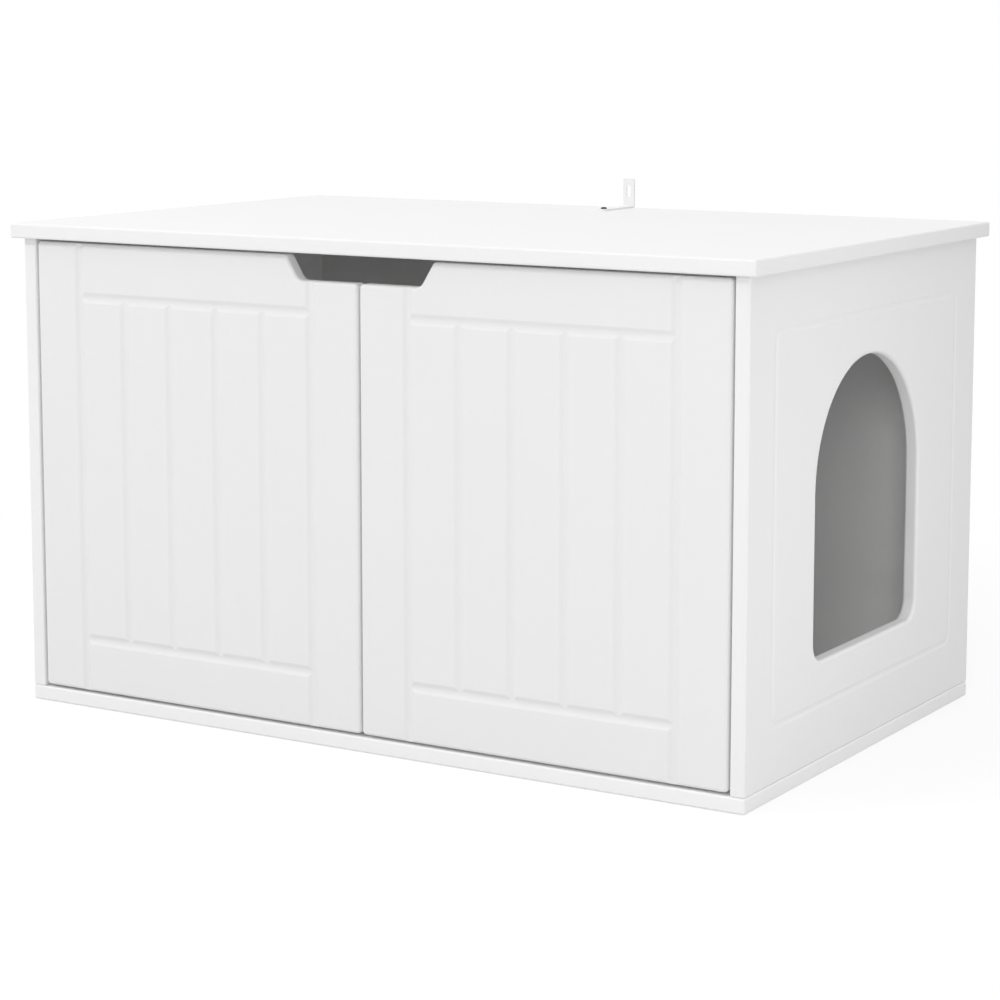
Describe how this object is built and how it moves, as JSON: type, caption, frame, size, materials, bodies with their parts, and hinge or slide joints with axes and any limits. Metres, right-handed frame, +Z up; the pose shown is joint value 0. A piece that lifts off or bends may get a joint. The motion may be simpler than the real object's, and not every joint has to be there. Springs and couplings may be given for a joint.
{
  "type": "cat house cabinet",
  "caption": "White pet cabinet with a flat overhanging top, plank-grooved inset doors with a shared finger notch, and an arched cat entry in one side.",
  "frame": {"origin": "on the floor, under the middle of the cabinet's footprint", "axes": "+X to the side with the arched entry, -Y out of the doors, +Z up"},
  "size_m": [0.85, 0.545, 0.532],
  "materials": {
    "white_board": "white satin lacquer on fibreboard",
    "back_sheet": "white faced hardboard",
    "dowel_wood": "raw fluted beech",
    "cam_metal": "cast zinc",
    "hinge_metal": "nickel plated",
    "screw_metal": "zinc plated",
    "strap_screw": "black coated steel",
    "strap_paint": "white powder coat"
  },
  "bodies": {
    "cabinet": {"top_panel": "white_board", "base_panel": "white_board", "left_side_panel": "white_board", "right_side_panel": "white_board", "back_panel": "back_sheet", "wood_dowels": "dowel_wood", "cam_bolts": "cam_metal", "cam_locks": "cam_metal", "left_lower_hinge_arm": "hinge_metal", "left_lower_hinge_plate": "hinge_metal", "left_upper_hinge_arm": "hinge_metal", "left_upper_hinge_plate": "hinge_metal", "right_lower_hinge_arm": "hinge_metal", "right_lower_hinge_plate": "hinge_metal", "right_upper_hinge_arm": "hinge_metal", "right_upper_hinge_plate": "hinge_metal", "hinge_plate_screws": "screw_metal", "hinge_arm_screws": "screw_metal", "wall_strap_screw": "strap_screw", "wall_strap": "strap_paint"},
    "left_door": {"left_door": "white_board", "left_cup_screws": "screw_metal", "left_lower_hinge_cup": "hinge_metal", "left_lower_hinge_pin": "hinge_metal", "left_upper_hinge_cup": "hinge_metal", "left_upper_hinge_pin": "hinge_metal"},
    "right_door": {"right_door": "white_board", "right_cup_screws": "screw_metal", "right_lower_hinge_cup": "hinge_metal", "right_lower_hinge_pin": "hinge_metal", "right_upper_hinge_cup": "hinge_metal", "right_upper_hinge_pin": "hinge_metal"}
  },
  "joints": [
    {"name": "left_door_hinge", "type": "hinge", "parent": "cabinet", "child": "left_door", "pos_m": [-0.3875, -0.2555, 0.25], "axis": [0, 0, -1], "range_deg": [0, 95]},
    {"name": "right_door_hinge", "type": "hinge", "parent": "cabinet", "child": "right_door", "pos_m": [0.3875, -0.2555, 0.25], "axis": [0, 0, 1], "range_deg": [0, 95]}
  ]
}
